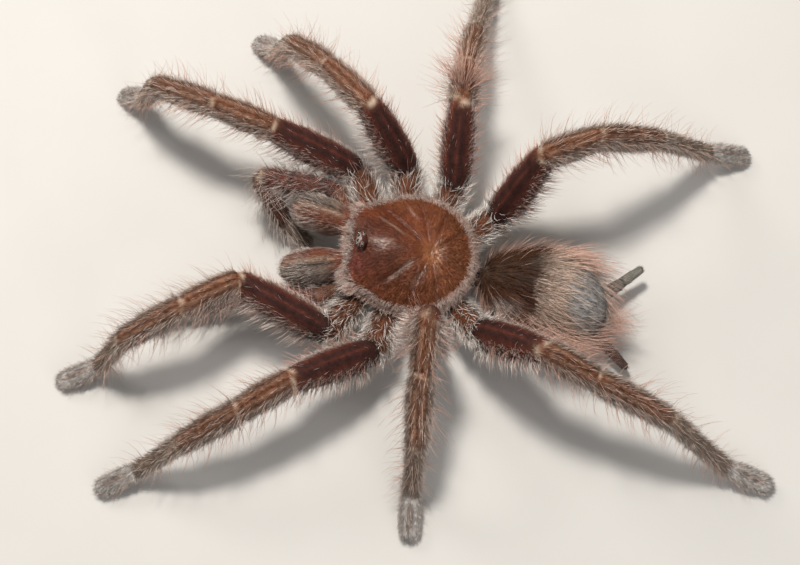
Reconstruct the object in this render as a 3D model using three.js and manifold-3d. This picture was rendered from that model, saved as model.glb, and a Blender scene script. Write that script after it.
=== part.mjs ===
// A large ground tarantula, standing: a still, life-size model of the whole animal.
// Millimetres, +Z up. The head points along -Y and the animal's left side is +X.
// The origin ends up under the middle of the model's box, on the floor.

import * as THREE from 'three';
import * as BufferGeometryUtils from 'three/addons/utils/BufferGeometryUtils.js';
import Module from 'manifold-3d';

const wasm = await Module();
wasm.setup();

// ---------- driving dimensions ----------

const GAP = 0.3;                      // space kept between two pieces that touch
const ROUND_SIDES = 9;                // facets round a leg segment
const SLIM_SIDES = 8;                 // facets round a thin or short one

// Carapace: a shield with a rounded rim, a raised head region and a nearly straight front edge.
const SHIELD = {
  centre: [-0.8, 7.2],
  yaw: 3,                             // the head is turned a little to the animal's left
  halfWidth: 16.9,
  halfLength: 17.4,
  cornerBulge: 2.6,                   // how far the two front corners stand out
  cornerAngle: 31,                    // degrees from straight ahead
  cornerSpread: 17,
  rimBottom: 15.6,
  rimTop: 17.6,
  frontRimRise: 2.2,
  domeRise: 4.9,
  headRise: 2.6,
  headForward: 8.5,                   // the head's crown, ahead of the shield's centre
  pitDepth: 1.2,
  pitBack: 5.2,                       // the pit behind it
};

// Underside plate between the leg roots.
const STERNUM = { centreY: 6.3, halfWidth: 7.6, halfLength: 12.2, bottom: 6.2, top: 15.3 };

const ABDOMEN = { centre: [3.3, 43.2, 13.2], halfWidth: 12.9, halfLength: 17.9, halfHeight: 10.4, yaw: 9 };

const PEDICEL = { from: [0, 19.6, 10.4], to: [0.9, 28.5, 12.2], radius: 2.5 };

// Eye mound, with the sizes of its eight eyes.
const EYE_MOUND = { centre: [-0.1, -6.1, 24.7], halfWidth: 2.3, halfLength: 1.5, halfHeight: 1.5 };
const EYES = [
  { x: 0.62, y: -0.75, z: 0.95, radius: 0.46 },
  { x: 1.55, y: -1.05, z: 0.45, radius: 0.44 },
  { x: 1.12, y: 0.35, z: 0.98, radius: 0.27 },
  { x: 1.72, y: 0.35, z: 0.62, radius: 0.36 },
];

// Jaws: two stout basal lobes, spread apart, each with a curved fang folded back under it.
const CHELICERA = { halfWidth: 5.3, halfDepth: 6.4 };
const CHELICERAE = {
  right: { root: [-7.0, -8.6, 15.2], tip: [-10.2, -26.6, 13.8] },
  left: { root: [3.6, -8.6, 15.2], tip: [8.4, -26.8, 13.8] },
};
const FANG = { radius: 1.4, arcRadius: 12.5, sweep: 62, foldBack: 38, rootOffset: 3.2, drop: 3.6 };

// Legs I to IV. Root is the joint between trochanter and femur on the left side.
// Hip is the inner end of the coxa, beside the sternum.
const LEG_PAIRS = {
  1: { hip: [7.6, -2.6, 10.6], root: [23, -11.4, 13.5], lengths: [27.5, 16.5, 20, 18.5, 12] },
  2: { hip: [8.7, 4.0, 10.6], root: [26, 1.6, 13.5], lengths: [26.5, 15.5, 19, 18, 12] },
  3: { hip: [8.6, 10.8, 10.6], root: [22.8, 15, 13.5], lengths: [25, 14.5, 19.5, 20, 12.5] },
  4: { hip: [6.9, 17.2, 10.6], root: [16.3, 28, 13.2], lengths: [29, 15, 23, 26.5, 13.5] },
};

// The pose. Heading is the compass direction of each segment, in degrees from +X towards +Y,
// for femur, patella, tibia, metatarsus and tarsus. Pitch is the rise of femur, patella, tibia
// and tarsus. The metatarsus joins the last two.
const LEG_POSES = {
  right_1: { heading: [-98, -97, -107, -114, -113], pitch: [30, 19, -20, -45] },
  right_2: { heading: [-124, -126, -128, -129, -124], pitch: [58, -2, -35, -40] },
  right_3: { heading: [-176, -178, 179, 177, 176], pitch: [46, -24, -34, -14] },
  right_4: { heading: [136, 115, 116, 115, 105], pitch: [62, 12, -38, -28] },
  left_1: { heading: [-105, -49, -58, -63, -61], pitch: [23, 17, -24, -14] },
  left_2: { heading: [-52, -50, -56, -61, -57], pitch: [27, -4, -24, -14] },
  left_3: { heading: [-12, 2, 5, 2, 7], pitch: [93, -25, -30, -14] },
  left_4: { heading: [64, 74, 76, 73, 79], pitch: [49, -15, -20, -14] },
};
const FLAT_TARSUS_PITCH = -14;
const TIP_HEIGHT = 1.5;               // height of a flat foot's centre line at its tip
const TIP_SINK = 0.055;               // how much lower it is for each degree that the tarsus is steeper

// Pedipalps: root, and for femur, patella with tibia, and tarsus: length, heading and pitch.
const PALP_LENGTHS = [21.5, 17, 9.5];
const PALPS = {
  right: {
    hip: [-5.2, -7.2, 8.6],
    root: [-16.9, -16.4, 12.8],
    heading: [-84, 47, 62],
    pitch: [19, -52, -14],
  },
  left: {
    hip: [5.2, -7.2, 8.6],
    root: [13.7, -15.6, 12.8],
    heading: [-86, -70, -60],
    pitch: [-16, -10, -6],
  },
};

// Half widths along each segment as [place along the length, half width], with the ratio
// of its depth to its width.
const FEMUR = { profile: [[0, 3.9], [0.3, 4.7], [0.65, 4.5], [1, 3.5]], depth: 1.12 };
const PATELLA = { profile: [[0, 3.5], [0.45, 3.75], [1, 3.25]], depth: 1.08 };
const TIBIA = { profile: [[0, 3.3], [0.4, 3.5], [1, 2.9]], depth: 1.05 };
const METATARSUS = { profile: [[0, 2.7], [0.5, 2.35], [1, 2.4]], depth: 1 };
const TARSUS = { profile: [[0, 2.6], [0.35, 3.1], [0.75, 2.9]], depth: 0.8 };
const COXA = { profile: [[0, 2.7], [0.35, 3.5], [0.7, 3.9], [0.78, 3.7], [0.9, 4.2], [1, 4]], depth: 1 };
const PALP_COXA = { profile: [[0, 2.6], [0.4, 3.3], [0.75, 3.2], [0.9, 3.5], [1, 3.3]], depth: 1 };
const PALP_FEMUR = { profile: [[0, 2.9], [0.35, 3.4], [0.7, 3.4], [1, 3]], depth: 1.1 };
const PALP_SHANK = { profile: [[0, 3], [0.3, 3.2], [0.7, 3.2], [1, 2.7]], depth: 1.05 };
const PALP_TARSUS = { profile: [[0, 2.7], [0.5, 2.9], [0.8, 2.3]], depth: 0.85 };

const SPINNERETS = {
  right: { root: [1.6, 56.2, 6.6], tip: [-10.9, 68.8, 7.6] },
  left: { root: [6.6, 55.6, 5.4], tip: [16.8, 68.6, 4.2] },
};
const SPINNERET = { profile: [[0, 2.1], [0.45, 1.9], [0.75, 1.65], [0.9, 1.3]], depth: 1 };

// ---------- materials ----------

const COLOURS = {
  carapace: 0x8a3f1c,
  underside: 0x4a2c22,
  abdomen: 0x8a7a68,
  femur: 0x4a241c,
  leg: 0x7a4a32,
  foot: 0x6b6a70,
  jaw: 0x9a5a40,
  fang: 0x120c0a,
  eye: 0x0a0808,
  spinneret: 0x6a665f,
};

function material(kind) {
  const glossy = kind === 'fang' || kind === 'eye';
  const roughness = glossy ? 0.25 : 0.85;
  return new THREE.MeshStandardMaterial({ color: COLOURS[kind], roughness, metalness: 0 });
}

// ---------- helpers ----------

const radians = THREE.MathUtils.degToRad;

function toSolid(geometry) {
  geometry.deleteAttribute('normal');
  geometry.deleteAttribute('uv');
  const merged = BufferGeometryUtils.mergeVertices(geometry, 1e-5);
  const vertProperties = new Float32Array(merged.attributes.position.array);
  const triVerts = new Uint32Array(merged.index.array);
  return new wasm.Manifold(new wasm.Mesh({ numProp: 3, vertProperties, triVerts }));
}

function toMesh(name, solid, kind) {
  const data = solid.getMesh();
  const geometry = new THREE.BufferGeometry();
  geometry.setAttribute('position', new THREE.BufferAttribute(data.vertProperties, 3));
  geometry.setIndex(new THREE.BufferAttribute(data.triVerts, 1));
  geometry.computeVertexNormals();
  const mesh = new THREE.Mesh(geometry, material(kind));
  mesh.name = name;
  return mesh;
}

function direction(heading, pitch) {
  const h = radians(heading);
  const p = radians(pitch);
  return new THREE.Vector3(Math.cos(p) * Math.cos(h), Math.cos(p) * Math.sin(h), Math.sin(p));
}

function aim(from, to) {
  return new THREE.Vector3().subVectors(to, from).normalize();
}

// Moves every vertex of a geometry by a function of its place.
function reshape(geometry, place) {
  const position = geometry.attributes.position;
  const point = new THREE.Vector3();
  for (let i = 0; i < position.count; i += 1) {
    point.fromBufferAttribute(position, i);
    place(point);
    position.setXYZ(i, point.x, point.y, point.z);
  }
  return geometry;
}

// A half space as a large block: the side of the point that the normal shows.
function halfSpace(point, normal) {
  const size = 260;
  const block = new THREE.BoxGeometry(size, size, size);
  const turn = new THREE.Quaternion().setFromUnitVectors(new THREE.Vector3(0, 0, 1), normal);
  const centre = point.clone().addScaledVector(normal, size / 2);
  block.applyMatrix4(new THREE.Matrix4().compose(centre, turn, new THREE.Vector3(1, 1, 1)));
  return toSolid(block);
}

// One limb segment: a lathed body from one joint to the next, with round ends that reach past
// the joints. An ending flag keeps the far end round inside the segment's own length.
function segment(from, to, form, options = {}) {
  const { extra = 0, ending = false, sides = ROUND_SIDES } = options;
  const axis = new THREE.Vector3().subVectors(to, from);
  const length = axis.length();
  axis.normalize();
  const radii = form.profile.map(([place, radius]) => [place * length, radius + extra]);
  const first = radii[0][1];
  const last = radii[radii.length - 1][1];
  const end = radii[radii.length - 1][0];
  const reach = ending ? length + extra - end : last;
  const points = [new THREE.Vector2(0, -first), new THREE.Vector2(first * 0.72, -first * 0.69)];
  for (const [place, radius] of radii) {
    points.push(new THREE.Vector2(radius, place));
  }
  points.push(new THREE.Vector2(last * 0.72, end + reach * 0.69));
  points.push(new THREE.Vector2(0, end + reach));
  const body = new THREE.LatheGeometry(points, sides);
  body.scale(1, 1, form.depth);
  const side = new THREE.Vector3(-axis.y, axis.x, 0);
  if (side.length() < 0.05) {
    side.set(0, 1, 0);
  }
  side.normalize();
  const up = new THREE.Vector3().crossVectors(side, axis);
  const frame = new THREE.Matrix4().makeBasis(side, axis, up);
  frame.setPosition(from);
  body.applyMatrix4(frame);
  return toSolid(body);
}

// Trims a segment at a joint, on the plane that halves the bend there.
function trim(solid, joint, before, after, keepsBefore) {
  const normal = new THREE.Vector3().addVectors(before, after).normalize();
  if (!keepsBefore) {
    normal.negate();
  }
  const cutFrom = joint.clone().addScaledVector(normal, -GAP / 2);
  return solid.subtract(halfSpace(cutFrom, normal));
}

// ---------- body ----------

// The carapace's height and outline, with all its sizes grown by extra.
function carapace(extra = 0) {
  const underside = [[0, -1], [0.9, -1], [1, -0.55]];
  const top = [[1, 0], [0.93, 0.3], [0.8, 0.52], [0.6, 0.75], [0.35, 0.92], [0, 1]];
  const rows = [...underside, ...top].map(([r, h]) => new THREE.Vector2(r, h));
  const dome = new THREE.LatheGeometry(rows, 24);
  const { domeRise, headRise, headForward, pitDepth, pitBack } = SHIELD;
  reshape(dome, (p) => {
    const spread = Math.hypot(p.x, p.z);
    const angle = Math.atan2(p.x, p.z);
    const off = THREE.MathUtils.radToDeg(Math.abs(angle)) - SHIELD.cornerAngle;
    const bulge = SHIELD.cornerBulge * Math.exp(-((off / SHIELD.cornerSpread) ** 2));
    const x = Math.sin(angle) * spread * (SHIELD.halfWidth + bulge + extra);
    const y = -Math.cos(angle) * spread * (SHIELD.halfLength + bulge + extra);
    const frontness = Math.max(0, Math.cos(angle)) ** 3 * spread * spread;
    const rim = SHIELD.rimTop + SHIELD.frontRimRise * frontness;
    const head = headRise * Math.exp(-((x / 7) ** 2) - (((y + headForward) / 8) ** 2));
    const pit = pitDepth * Math.exp(-((x / 3.5) ** 2) - (((y - pitBack) / 2.5) ** 2));
    let z = rim + p.y * domeRise + (head - pit) * Math.min(1, p.y * 1.6) + extra;
    if (p.y < 0) {
      z = THREE.MathUtils.lerp(rim, SHIELD.rimBottom, -p.y) - extra;
    }
    p.set(x, y, z);
  });
  dome.rotateZ(radians(SHIELD.yaw));
  dome.translate(...SHIELD.centre, 0);
  return toSolid(dome);
}

function sternum(extra = 0) {
  const rows = [[0, 0], [0.72, 0], [1, 0.35], [1, 1], [0, 1]];
  const plate = new THREE.LatheGeometry(rows.map(([r, h]) => new THREE.Vector2(r, h)), 16);
  plate.rotateX(Math.PI / 2);
  reshape(plate, (p) => {
    const z = THREE.MathUtils.lerp(STERNUM.bottom - extra, STERNUM.top + extra, p.z);
    const taper = 1 + 0.12 * p.y;
    const x = p.x * (STERNUM.halfWidth + extra) * taper;
    p.set(x, STERNUM.centreY + p.y * (STERNUM.halfLength + extra), z);
  });
  return toSolid(plate);
}

function abdomen(extra = 0) {
  const ball = new THREE.SphereGeometry(1, 20, 12);
  ball.rotateX(-Math.PI / 2);
  reshape(ball, (p) => {
    const along = p.y;
    const swell = 1 + 0.13 * along - 0.1 * along * along;
    const lift = 1.2 * along;
    const width = (ABDOMEN.halfWidth + extra) * swell;
    const height = (ABDOMEN.halfHeight + extra) * swell;
    p.set(p.x * width, along * (ABDOMEN.halfLength + extra), p.z * height - lift);
  });
  ball.rotateZ(-radians(ABDOMEN.yaw));
  ball.translate(...ABDOMEN.centre);
  return toSolid(ball);
}

function pedicel(extra = 0) {
  const from = new THREE.Vector3(...PEDICEL.from);
  const to = new THREE.Vector3(...PEDICEL.to);
  const form = { profile: [[0, PEDICEL.radius], [1, PEDICEL.radius]], depth: 1 };
  return segment(from, to, form, { extra, sides: SLIM_SIDES });
}

function eyeMound() {
  const { centre, halfWidth, halfLength, halfHeight } = EYE_MOUND;
  const mound = new THREE.SphereGeometry(1, 12, 7);
  mound.scale(halfWidth, halfLength, halfHeight);
  let solid = toSolid(mound);
  for (const eye of EYES) {
    for (const side of [-1, 1]) {
      const ball = new THREE.SphereGeometry(eye.radius, 6, 4);
      ball.translate(side * eye.x, eye.y, eye.z);
      solid = solid.add(toSolid(ball));
    }
  }
  return solid.translate(centre).subtract(carapace(GAP));
}

// ---------- jaws ----------

function mirrored(place, side) {
  return new THREE.Vector3(side * place[0], place[1], place[2]);
}

function chelicera(word, extra = 0) {
  const { halfWidth, halfDepth } = CHELICERA;
  const root = new THREE.Vector3(...CHELICERAE[word].root);
  const tip = new THREE.Vector3(...CHELICERAE[word].tip);
  const shares = [[0.14, 0.8], [0.42, 1], [0.72, 0.95], [0.88, 0.76]];
  const profile = shares.map(([place, share]) => [place, share * halfWidth]);
  const form = { profile, depth: halfDepth / halfWidth };
  return segment(root, tip, form, { extra, ending: true });
}

// A tapering horn bent along an arc. It leaves the tip of its lobe downward and folds back.
function fang(word) {
  const { radius, arcRadius, sweep, foldBack, rootOffset, drop } = FANG;
  const rows = [[0, 0], [1, 0], [0.85, 0.3], [0.6, 0.6], [0.3, 0.85], [0, 1]];
  const horn = new THREE.LatheGeometry(rows.map(([r, h]) => new THREE.Vector2(r * radius, h)), 8);
  reshape(horn, (p) => {
    const turn = radians(sweep) * p.y;
    const out = arcRadius - p.z;
    p.set(p.x, arcRadius - out * Math.cos(turn), -out * Math.sin(turn));
  });
  horn.rotateX(radians(foldBack));
  const tip = new THREE.Vector3(...CHELICERAE[word].tip);
  const axis = aim(new THREE.Vector3(...CHELICERAE[word].root), tip);
  horn.rotateZ(Math.atan2(axis.y, axis.x) + Math.PI / 2);
  const place = tip.addScaledVector(axis, -rootOffset);
  horn.translate(place.x, place.y, place.z - drop);
  return toSolid(horn).subtract(chelicera(word, GAP));
}

// ---------- legs ----------

// The joints of one leg, from the trochanter to the tip. The metatarsus takes the pitch that
// brings the tip down to the floor.
function legJoints(side, pair, pose) {
  const joints = [mirrored(pair.root, side)];
  const step = (length, heading, pitch) => {
    const next = joints[joints.length - 1].clone().addScaledVector(direction(heading, pitch), length);
    joints.push(next);
  };
  for (let i = 0; i < 3; i += 1) {
    step(pair.lengths[i], pose.heading[i], pose.pitch[i]);
  }
  const tarsusPitch = pose.pitch[3];
  const tarsusDrop = -Math.sin(radians(tarsusPitch)) * pair.lengths[4];
  const tipHeight = TIP_HEIGHT + TIP_SINK * (tarsusPitch - FLAT_TARSUS_PITCH);
  const drop = joints[3].z - tipHeight - tarsusDrop;
  const pitch = -THREE.MathUtils.radToDeg(Math.asin(drop / pair.lengths[3]));
  step(pair.lengths[3], pose.heading[3], pitch);
  step(pair.lengths[4], pose.heading[4], tarsusPitch);
  return joints;
}

// What the limb roots are cut clear of.
const jaws = [chelicera('left', GAP), chelicera('right', GAP)];
const plates = [carapace(GAP), sternum(GAP)];
const trunk = [...plates, pedicel(GAP), ...jaws];

function clearOf(solid, cutters) {
  return cutters.reduce((left, cutter) => left.subtract(cutter), solid);
}

function leg(name) {
  const [word, number] = name.split('_');
  const side = word === 'left' ? 1 : -1;
  const pair = LEG_PAIRS[number];
  const joints = legJoints(side, pair, LEG_POSES[name]);
  const hip = mirrored(pair.hip, side);
  const chain = [hip, ...joints];
  const ways = chain.slice(1).map((joint, i) => aim(chain[i], joint));
  const base = segment(hip, joints[0], COXA, { sides: SLIM_SIDES });
  const coxa = trim(base, joints[0], ways[0], ways[1], true);
  const parts = [['coxa', clearOf(coxa, trunk), 'leg']];
  [FEMUR, PATELLA, TIBIA].forEach((form, i) => {
    const body = segment(joints[i], joints[i + 1], form);
    const started = trim(body, joints[i], ways[i], ways[i + 1], false);
    const ended = trim(started, joints[i + 1], ways[i + 1], ways[i + 2], true);
    parts.push([['femur', 'patella', 'tibia'][i], ended, i === 0 ? 'femur' : 'leg']);
  });
  const metatarsus = segment(joints[3], joints[4], METATARSUS, { sides: SLIM_SIDES });
  const shank = trim(metatarsus, joints[3], ways[3], ways[4], false);
  const toe = segment(joints[4], joints[5], TARSUS, { ending: true });
  const floor = halfSpace(new THREE.Vector3(0, 0, 0), new THREE.Vector3(0, 0, -1));
  parts.push(['foot', shank.add(toe).subtract(floor), 'foot']);
  return parts.map(([part, solid, kind]) => toMesh(`leg_${name}_${part}`, solid, kind));
}

// The root and femur of the first leg, grown by the gap: the palp beside them is cut clear.
function besideFirstLeg(word) {
  const side = word === 'left' ? 1 : -1;
  const pair = LEG_PAIRS[1];
  const [root, knee] = legJoints(side, pair, LEG_POSES[`${word}_1`]);
  return [
    segment(mirrored(pair.hip, side), root, COXA, { extra: GAP, sides: SLIM_SIDES }),
    segment(root, knee, FEMUR, { extra: GAP }),
  ];
}

function palp(word) {
  const { hip, root, heading, pitch } = PALPS[word];
  const chain = [new THREE.Vector3(...hip), new THREE.Vector3(...root)];
  PALP_LENGTHS.forEach((length, i) => {
    chain.push(chain[i + 1].clone().addScaledVector(direction(heading[i], pitch[i]), length));
  });
  const ways = chain.slice(1).map((joint, i) => aim(chain[i], joint));
  const forms = [PALP_COXA, PALP_FEMUR, PALP_SHANK, PALP_TARSUS];
  const names = ['coxa', 'femur', 'shank', 'tarsus'];
  return forms.map((form, i) => {
    let solid = segment(chain[i], chain[i + 1], form, { ending: i === 3, sides: SLIM_SIDES });
    if (i > 0) {
      solid = trim(solid, chain[i], ways[i - 1], ways[i], false);
    }
    if (i < 2) {
      solid = clearOf(solid, [...trunk, ...besideFirstLeg(word)]);
    }
    if (i < 3) {
      solid = trim(solid, chain[i + 1], ways[i], ways[i + 1], true);
    }
    return toMesh(`palp_${word}_${names[i]}`, solid, i === 1 ? 'femur' : 'leg');
  });
}

// ---------- assembly ----------

const spider = new THREE.Group();
spider.add(toMesh('carapace', carapace(), 'carapace'));
spider.add(toMesh('sternum', sternum(), 'underside'));
spider.add(toMesh('pedicel', clearOf(pedicel(), [...plates, abdomen(GAP)]), 'underside'));
spider.add(toMesh('abdomen', abdomen(), 'abdomen'));
spider.add(toMesh('eyes', eyeMound(), 'eye'));

for (const word of ['left', 'right']) {
  spider.add(toMesh(`chelicera_${word}`, clearOf(chelicera(word), plates), 'jaw'));
  spider.add(toMesh(`fang_${word}`, fang(word), 'fang'));
  spider.add(...palp(word));
  const [root, tip] = [SPINNERETS[word].root, SPINNERETS[word].tip].map((p) => new THREE.Vector3(...p));
  const finger = segment(root, tip, SPINNERET, { ending: true, sides: SLIM_SIDES });
  spider.add(toMesh(`spinneret_${word}`, finger.subtract(abdomen(GAP)), 'spinneret'));
}

for (const name of Object.keys(LEG_POSES)) {
  spider.add(...leg(name));
}

// Stand the model on the floor, centred on its box.
const box = new THREE.Box3().setFromObject(spider);
const centre = box.getCenter(new THREE.Vector3());
spider.position.set(-centre.x, -centre.y, -box.min.z);
spider.updateMatrixWorld(true);

export default spider;
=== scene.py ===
import math

import bpy
import numpy as np
from mathutils import Matrix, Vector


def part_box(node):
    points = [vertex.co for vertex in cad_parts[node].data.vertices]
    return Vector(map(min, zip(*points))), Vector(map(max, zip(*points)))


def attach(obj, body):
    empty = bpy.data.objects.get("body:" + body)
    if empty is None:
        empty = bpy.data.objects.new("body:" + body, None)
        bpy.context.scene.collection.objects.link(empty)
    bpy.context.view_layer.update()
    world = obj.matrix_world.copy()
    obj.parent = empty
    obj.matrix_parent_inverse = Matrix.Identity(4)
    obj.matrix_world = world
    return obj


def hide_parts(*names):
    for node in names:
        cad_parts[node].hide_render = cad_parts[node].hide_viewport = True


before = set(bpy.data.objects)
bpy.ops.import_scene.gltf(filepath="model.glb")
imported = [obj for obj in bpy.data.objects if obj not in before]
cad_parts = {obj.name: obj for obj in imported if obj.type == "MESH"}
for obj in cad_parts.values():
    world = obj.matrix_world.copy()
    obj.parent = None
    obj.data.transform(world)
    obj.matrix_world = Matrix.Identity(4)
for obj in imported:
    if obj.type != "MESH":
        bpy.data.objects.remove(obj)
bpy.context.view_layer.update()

# Lengths are millimetres in the model's own frame: +Z up, head towards -Y, left side +X.
MM = 0.001
STERNUM = dict(centre=(0, 6.3, 11.2), half_width=7.8, half_length=11.9, half_height=4.6, node_bottom=6.2)
low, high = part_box("sternum")
SHIFT = np.array([
    (low.x + high.x) / 2 / MM,
    (low.y + high.y) / 2 / MM - STERNUM["centre"][1],
    low.z / MM - STERNUM["node_bottom"],
])
FLOOR_GAP = 0.05
LOWEST_SKIN = -SHIFT[2] + FLOOR_GAP
SEED = 20
rng = np.random.default_rng(SEED)

# ---------------- sizes and pose

SHIELD = dict(
    centre=(-0.8, 7.2), yaw=3, half_width=16.9, half_length=17.4,
    corner_bulge=2.6, corner_angle=31, corner_spread=17,
    rim_top=17.6, front_rim_rise=2.2,
    dome_rise=4.9, head_rise=2.6, head_forward=8.5, pit_depth=1.2, pit_back=5.2,
)
ABDOMEN = dict(centre=(3.3, 43.2, 13.2), half_width=12.9, half_length=17.9, half_height=10.4, yaw=9)
EYE_MOUND = dict(centre=(-0.1, -6.1, 24.7), half_width=2.3, half_length=1.5, half_height=1.5)
# The eyes of one side: x, y and z from the mound's middle, and radius.
EYES = [
    (0.62, -0.75, 0.95, 0.46), (1.55, -1.05, 0.45, 0.44),
    (1.12, 0.35, 0.98, 0.27), (1.72, 0.35, 0.62, 0.36),
]
CHELICERAE = {
    "right": ((-7, -8.6, 15.2), (-10.2, -26.6, 13.8)),
    "left": ((3.6, -8.6, 15.2), (8.4, -26.8, 13.8)),
}
JAW = dict(half_width=5.3, half_depth=6.4)
FANG = dict(radius=1.4, arc_radius=12.5, sweep=62, fold_back=38, root_offset=3.2, drop=3.6)
FLAT_TARSUS_PITCH = -14
TIP_HEIGHT = 1.5
TIP_SINK = 0.055
# The legs from the front: the joint under the shell, the femur's root, and the lengths from femur to tarsus.
LEG_PAIRS = {
    1: dict(hip=(7.6, -2.6, 10.6), root=(23, -11.4, 13.5), lengths=(27.5, 16.5, 20, 18.5, 12)),
    2: dict(hip=(8.7, 4.0, 10.6), root=(26, 1.6, 13.5), lengths=(26.5, 15.5, 19, 18, 12)),
    3: dict(hip=(8.6, 10.8, 10.6), root=(22.8, 15, 13.5), lengths=(25, 14.5, 19.5, 20, 12.5)),
    4: dict(hip=(6.9, 17.2, 10.6), root=(16.3, 28, 13.2), lengths=(29, 15, 23, 26.5, 13.5)),
}
# Headings from femur to tarsus, and pitches of femur, patella, tibia and tarsus.
LEG_POSES = {
    ("right", 1): ((-98, -97, -107, -114, -113), (30, 19, -20, -45)),
    ("right", 2): ((-124, -126, -128, -129, -124), (58, -2, -35, -40)),
    ("right", 3): ((-176, -178, 179, 177, 176), (46, -24, -34, -14)),
    ("right", 4): ((136, 115, 116, 115, 105), (62, 12, -38, -28)),
    ("left", 1): ((-105, -49, -58, -63, -61), (23, 17, -24, -14)),
    ("left", 2): ((-52, -50, -56, -61, -57), (27, -4, -24, -14)),
    ("left", 3): ((-12, 2, 5, 2, 7), (93, -25, -30, -14)),
    ("left", 4): ((64, 74, 76, 73, 79), (49, -15, -20, -14)),
}
PALP_LENGTHS = (21.5, 17, 9.5)
PALPS = {
    "right": dict(
        hip=(-5.2, -7.2, 8.6), root=(-16.9, -16.4, 12.8), heading=(-84, 47, 62), pitch=(19, -52, -14),
    ),
    "left": dict(
        hip=(5.2, -7.2, 8.6), root=(13.7, -15.6, 12.8), heading=(-86, -70, -60), pitch=(-16, -10, -6),
    ),
}
# Each form is (place along the segment, half width) pairs, and its depth over its width.
COXA = (((0, 2.7), (0.35, 3.5), (0.7, 3.9), (0.78, 3.7), (0.9, 4.2), (1, 4)), 1)
FEMUR = (((0, 3.9), (0.3, 4.7), (0.65, 4.5), (1, 3.5)), 1.12)
PATELLA = (((0, 3.5), (0.45, 3.75), (1, 3.25)), 1.08)
TIBIA = (((0, 3.3), (0.4, 3.5), (1, 2.9)), 1.05)
METATARSUS = (((0, 2.7), (0.5, 2.35), (1, 2.4)), 1)
TARSUS = (((0, 2.6), (0.35, 3.1), (0.75, 2.9), (1, 2.7)), 0.8)
PALP_COXA = (((0, 2.6), (0.4, 3.3), (0.75, 3.2), (0.9, 3.5), (1, 3.3)), 1)
PALP_FEMUR = (((0, 2.9), (0.35, 3.4), (0.7, 3.4), (1, 3)), 1.1)
PALP_SHANK = (((0, 3), (0.3, 3.2), (0.7, 3.2), (1, 2.7)), 1.05)
PALP_TARSUS = (((0, 2.7), (0.5, 2.9), (0.8, 2.3), (1, 2.1)), 0.85)
JAW_FORM = tuple(
    (place, share * JAW["half_width"])
    for place, share in ((0, 0.72), (0.14, 0.8), (0.42, 1), (0.72, 0.95), (0.88, 0.78), (1, 0.66))
), JAW["half_depth"] / JAW["half_width"]
WAIST = (((0, 3.2), (0.5, 3.1), (1, 3.2)), 1)
WAIST_ENDS = ((0, 17, 10.4), (0.9, 30.5, 12.2))
SPINNERET = (
    ((0, 2.1), (0.3, 2.0), (0.33, 1.7), (0.38, 1.9), (0.62, 1.75), (0.65, 1.45), (0.7, 1.65), (1, 1.2)), 1,
)
SPINNERETS = {
    "right": ((1.6, 56.2, 6.6), (-10.9, 68.8, 7.6)),
    "left": ((6.6, 55.6, 5.4), (16.8, 68.6, 4.2)),
}
SPINNERET_OVERLAP = 3
# How far the skin lies inside the solids.
COAT_DEPTH = 0.65
SPINNERET_COAT = 0.25

# ---------------- small maths


def unit(v):
    return v / np.maximum(np.linalg.norm(v, axis=-1, keepdims=True), 1e-9)


def bell(x, width):
    """1 where x is 0, and next to nothing past twice the width."""
    return np.exp(-(x / width) ** 2)


def step(x, start, end):
    """A smooth rise from 0 at start to 1 at end."""
    t = np.clip((x - start) / (end - start), 0, 1)
    return t * t * (3 - 2 * t)


def mix(a, b, weight):
    return a + (b - a) * np.asarray(weight)[..., None]


def rgb(red, green, blue):
    """A colour given in display values, in the linear ones that shaders use."""
    c = np.array([red, green, blue], float) / 255
    return np.where(c <= 0.04045, c / 12.92, ((c + 0.055) / 1.055) ** 2.4)


def waves(points, size, seed):
    """Soft noise between 0 and 1 made of a few sine waves."""
    random = np.random.default_rng(seed)
    total = np.zeros(len(points))
    for _ in range(6):
        way = random.normal(size=3) * 2 * math.pi / size
        total += np.sin(points @ way + random.uniform(0, 2 * math.pi))
    return 0.5 + total / 7


def mottled(colour, points, size, seed, spread=0.4):
    """A colour made darker and lighter in soft patches."""
    return colour * (1 - spread / 2 + spread * waves(points, size, seed))[..., None]


def flat_colour(tone, points):
    return np.broadcast_to(tone, points.shape)


def smoothed(values, reach):
    """Each column averaged over a window of twice reach samples and one, its ends held."""
    if reach < 1:
        return values
    kernel = np.ones(2 * reach + 1) / (2 * reach + 1)
    padded = np.concatenate([
        2 * values[:1] - values[reach:0:-1], values, 2 * values[-1:] - values[-2:-reach - 2:-1],
    ])
    columns = padded.reshape(len(padded), -1)
    out = np.stack([np.convolve(c, kernel, "valid") for c in columns.T], 1)
    return out.reshape(values.shape)


# ---------------- tubes: the shape of every soft part

GRAIN = 0.25
BEND = 2.0
FORM_BLEND = 4
KNUCKLE_PINCH = 0.35
KNUCKLE_WIDTH = 0.7
TIP_ROUNDNESS = 1.15
LEAST_SIZE = 0.02
EGG_SAMPLES = 260
NEAR_END = 0.001


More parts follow.
